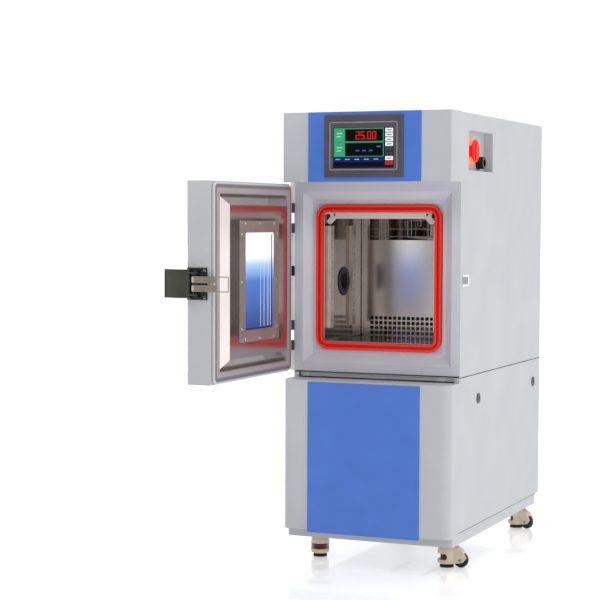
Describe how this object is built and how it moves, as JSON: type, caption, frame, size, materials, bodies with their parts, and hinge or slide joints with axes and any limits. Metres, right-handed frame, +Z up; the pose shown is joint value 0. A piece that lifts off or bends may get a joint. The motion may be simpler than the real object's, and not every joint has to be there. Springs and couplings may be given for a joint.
{
  "type": "environmental test chamber",
  "caption": "Floor-standing temperature and humidity test chamber with a windowed side-hinged door, console above, machine space below and levelling casters.",
  "frame": {"origin": "on the underside of the base pan, on the centre plane, below the door frame's front face", "axes": "+X to the right as one faces the front, -Y towards the operator, +Z up"},
  "size_m": [0.7765, 1.634, 1.535],
  "materials": {
    "side_coat": "pale grey powder coat, satin",
    "front_coat": "mid grey powder coat, satin",
    "blue_coat": "blue powder coat, satin",
    "display_plastic": "dark grey moulded bezel",
    "screen_glass": "colour touch screen, lit",
    "stainless": "304 stainless, mirror-polished sheet",
    "aluminium_fin": "mill-finish fins on copper tube",
    "insulation": "foam and mineral wool",
    "red_silicone": "red silicone",
    "grey_seal": "grey silicone strip",
    "motor_coat": "black enamel",
    "black_plastic": "black glass-filled nylon",
    "yellow_plastic": "yellow escutcheon",
    "red_plastic": "red moulded plastic",
    "chrome_plate": "bright chrome plate",
    "cream_plastic": "cream PVC strip",
    "window_glass": "tempered glass",
    "ivory_nylon": "ivory nylon",
    "black_rubber": "black rubber",
    "zinc_plate": "zinc plate"
  },
  "bodies": {
    "cabinet": {"base_pan": "side_coat", "lower_side_panels": "side_coat", "back_panels": "side_coat", "upper_casing": "side_coat", "switch_recess": "side_coat", "mid_deck": "front_coat", "side_plugs": "black_plastic", "lower_bezel": "front_coat", "console_bezel": "front_coat", "door_frame": "front_coat", "lower_front_panel": "blue_coat", "console_panel": "blue_coat", "display_bezel": "display_plastic", "display_module": "screen_glass", "chamber_liner": "stainless", "rear_baffle": "stainless", "shelf_uprights": "stainless", "outlet_guard": "stainless", "cable_port": "stainless", "conditioning_coils": "aluminium_fin", "chamber_insulation": "insulation", "frame_gasket": "red_silicone", "fan_motor": "motor_coat", "compressor": "motor_coat", "condenser": "aluminium_fin", "isolator_plate": "yellow_plastic", "power_inlet": "black_plastic", "latch_keeper": "chrome_plate", "hinge_fixed_leaves": "chrome_plate", "hinge_edge_strip": "cream_plastic", "caster_plates": "zinc_plate"},
    "door": {"door_shell": "front_coat", "door_core": "insulation", "door_inner_panel": "stainless", "door_seal": "grey_seal", "window_frames": "stainless", "window_panes": "window_glass", "hinge_door_leaves": "chrome_plate", "latch_base": "black_plastic"},
    "latch_handle": {"latch_handle": "black_plastic"},
    "latch_bail": {"latch_bail": "chrome_plate"},
    "blower_wheel": {"blower_wheel": "stainless"},
    "condenser_fan": {"condenser_fan": "black_plastic"},
    "isolator_knob": {"isolator_knob": "red_plastic"},
    "caster_housing_front_left": {"caster_housing_front_left": "ivory_nylon"},
    "caster_wheel_front_left": {"caster_wheel_front_left": "black_rubber"},
    "adjusting_ring_front_left": {"adjusting_ring_front_left": "red_plastic"},
    "levelling_foot_front_left": {"levelling_foot_front_left": "black_rubber"},
    "caster_housing_front_right": {"caster_housing_front_right": "ivory_nylon"},
    "caster_wheel_front_right": {"caster_wheel_front_right": "black_rubber"},
    "adjusting_ring_front_right": {"adjusting_ring_front_right": "red_plastic"},
    "levelling_foot_front_right": {"levelling_foot_front_right": "black_rubber"},
    "caster_housing_rear_left": {"caster_housing_rear_left": "ivory_nylon"},
    "caster_wheel_rear_left": {"caster_wheel_rear_left": "black_rubber"},
    "adjusting_ring_rear_left": {"adjusting_ring_rear_left": "red_plastic"},
    "levelling_foot_rear_left": {"levelling_foot_rear_left": "black_rubber"},
    "caster_housing_rear_right": {"caster_housing_rear_right": "ivory_nylon"},
    "caster_wheel_rear_right": {"caster_wheel_rear_right": "black_rubber"},
    "adjusting_ring_rear_right": {"adjusting_ring_rear_right": "red_plastic"},
    "levelling_foot_rear_right": {"levelling_foot_rear_right": "black_rubber"}
  },
  "joints": [
    {"name": "door_hinge", "type": "hinge", "parent": "cabinet", "child": "door", "pos_m": [-0.3145, -0.0215, 0.885], "axis": [0, 0, 1], "range_deg": [-30, 90]},
    {"name": "latch_handle_turn", "type": "hinge", "parent": "door", "child": "latch_handle", "pos_m": [-0.35, -0.648, 0.883], "axis": [0, 0, 1], "range_deg": [0, 140]},
    {"name": "latch_bail_turn", "type": "hinge", "parent": "latch_handle", "child": "latch_bail", "pos_m": [-0.359, -0.648, 0.883], "axis": [0, 0, 1], "range_deg": [-140, 0]},
    {"name": "isolator_turn", "type": "hinge", "parent": "cabinet", "child": "isolator_knob", "pos_m": [0.285, 0.178, 1.319], "axis": [1, 0, 0], "range_deg": [0, 90]},
    {"name": "blower_spin", "type": "hinge", "parent": "cabinet", "child": "blower_wheel", "pos_m": [0, 0.446, 1.1], "axis": [0, 0, 1], "continuous": true},
    {"name": "condenser_fan_spin", "type": "hinge", "parent": "cabinet", "child": "condenser_fan", "pos_m": [0, 0.8, 0.168], "axis": [0, 1, 0], "continuous": true},
    {"name": "swivel_front_left", "type": "hinge", "parent": "cabinet", "child": "caster_housing_front_left", "pos_m": [-0.234, 0.079, -0.03], "axis": [0, 0, 1], "continuous": true},
    {"name": "wheel_roll_front_left", "type": "hinge", "parent": "caster_housing_front_left", "child": "caster_wheel_front_left", "pos_m": [-0.25354, 0.12502, -0.0665], "axis": [0.9205, 0.3907, 0], "continuous": true},
    {"name": "ring_turn_front_left", "type": "hinge", "parent": "caster_housing_front_left", "child": "adjusting_ring_front_left", "pos_m": [-0.234, 0.079, -0.0585], "axis": [0, 0, 1], "range_deg": [-1440, 960]},
    {"name": "foot_travel_front_left", "type": "slide", "parent": "caster_housing_front_left", "child": "levelling_foot_front_left", "axis": [0, 0, 1], "range_m": [-0.006, 0.004]},
    {"name": "swivel_front_right", "type": "hinge", "parent": "cabinet", "child": "caster_housing_front_right", "pos_m": [0.234, 0.079, -0.03], "axis": [0, 0, 1], "continuous": true},
    {"name": "wheel_roll_front_right", "type": "hinge", "parent": "caster_housing_front_right", "child": "caster_wheel_front_right", "pos_m": [0.28388, 0.08249, -0.0665], "axis": [0.0698, -0.9976, 0], "continuous": true},
    {"name": "ring_turn_front_right", "type": "hinge", "parent": "caster_housing_front_right", "child": "adjusting_ring_front_right", "pos_m": [0.234, 0.079, -0.0585], "axis": [0, 0, 1], "range_deg": [-1440, 960]},
    {"name": "foot_travel_front_right", "type": "slide", "parent": "caster_housing_front_right", "child": "levelling_foot_front_right", "axis": [0, 0, 1], "range_m": [-0.006, 0.004]},
    {"name": "swivel_rear_left", "type": "hinge", "parent": "cabinet", "child": "caster_housing_rear_left", "pos_m": [-0.234, 0.905, -0.03], "axis": [0, 0, 1], "continuous": true},
    {"name": "wheel_roll_rear_left", "type": "hinge", "parent": "caster_housing_rear_left", "child": "caster_wheel_rear_left", "pos_m": [-0.22106, 0.9533, -0.0665], "axis": [0.9659, -0.2588, 0], "continuous": true},
    {"name": "ring_turn_rear_left", "type": "hinge", "parent": "caster_housing_rear_left", "child": "adjusting_ring_rear_left", "pos_m": [-0.234, 0.905, -0.0585], "axis": [0, 0, 1], "range_deg": [-1440, 960]},
    {"name": "foot_travel_rear_left", "type": "slide", "parent": "caster_housing_rear_left", "child": "levelling_foot_rear_left", "axis": [0, 0, 1], "range_m": [-0.006, 0.004]},
    {"name": "swivel_rear_right", "type": "hinge", "parent": "cabinet", "child": "caster_housing_rear_right", "pos_m": [0.234, 0.905, -0.03], "axis": [0, 0, 1], "continuous": true},
    {"name": "wheel_roll_rear_right", "type": "hinge", "parent": "caster_housing_rear_right", "child": "caster_wheel_rear_right", "pos_m": [0.28098, 0.8879, -0.0665], "axis": [-0.342, -0.9397, 0], "continuous": true},
    {"name": "ring_turn_rear_right", "type": "hinge", "parent": "caster_housing_rear_right", "child": "adjusting_ring_rear_right", "pos_m": [0.234, 0.905, -0.0585], "axis": [0, 0, 1], "range_deg": [-1440, 960]},
    {"name": "foot_travel_rear_right", "type": "slide", "parent": "caster_housing_rear_right", "child": "levelling_foot_rear_right", "axis": [0, 0, 1], "range_m": [-0.006, 0.004]}
  ],
  "couplings": [
    {"joint": "latch_bail_turn", "follows": "latch_handle_turn", "ratio": -1},
    {"joint": "ring_turn_front_left", "follows": "foot_travel_front_left", "rad_per_m": 4188.8},
    {"joint": "ring_turn_front_right", "follows": "foot_travel_front_right", "rad_per_m": 4188.8},
    {"joint": "ring_turn_rear_left", "follows": "foot_travel_rear_left", "rad_per_m": 4188.8},
    {"joint": "ring_turn_rear_right", "follows": "foot_travel_rear_right", "rad_per_m": 4188.8}
  ]
}
